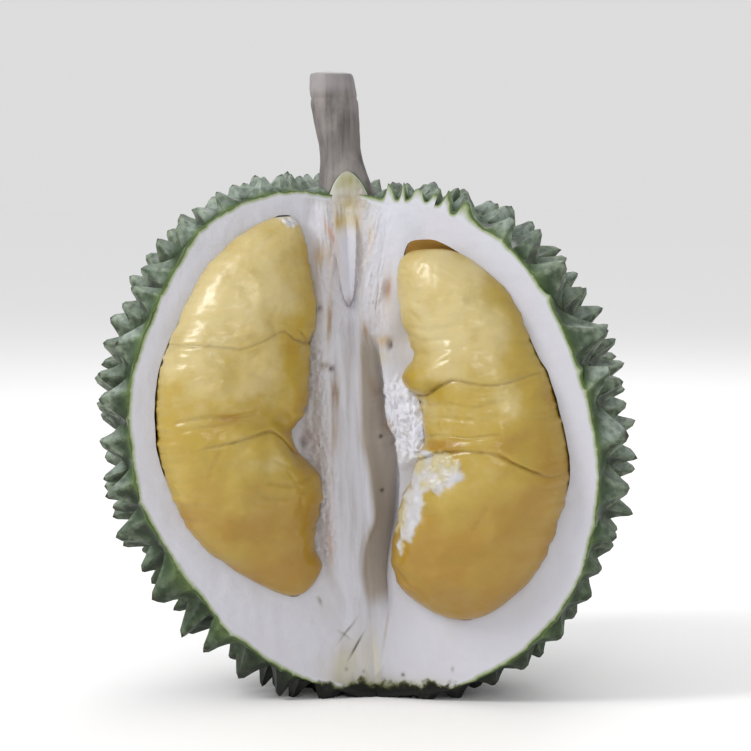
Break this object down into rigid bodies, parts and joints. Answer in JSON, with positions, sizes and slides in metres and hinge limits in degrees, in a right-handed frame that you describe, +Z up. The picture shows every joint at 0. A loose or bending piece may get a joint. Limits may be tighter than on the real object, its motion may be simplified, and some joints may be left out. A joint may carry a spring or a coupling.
{
  "type": "opened durian",
  "caption": "Spiny tropical fruit opened along its seams and standing on its base, with two pods of creamy flesh in white husk chambers and a stalk on top.",
  "frame": {"origin": "middle of the small flat spot that the fruit stands on", "axes": "+Z up towards the stalk, -Y out of the opened side, +X to the right of someone who looks into the opened side"},
  "size_m": [0.2077, 0.1485, 0.236],
  "materials": {
    "rind": "tough green skin, satin, browner at the spine tips",
    "pith": "matte white spongy husk, fibrous where it was torn",
    "flesh": "creamy yellow, moist satin sheen with fine wrinkles",
    "stalk": "grey-brown bark, matte, paler at the cut end"
  },
  "bodies": {
    "root": {"rind": "rind", "pith": "pith", "stalk": "stalk", "aril_left_top": "flesh", "aril_left_middle": "flesh", "aril_left_bottom": "flesh", "aril_right_top": "flesh", "aril_right_middle": "flesh", "aril_right_bottom": "flesh"}
  },
  "joints": []
}
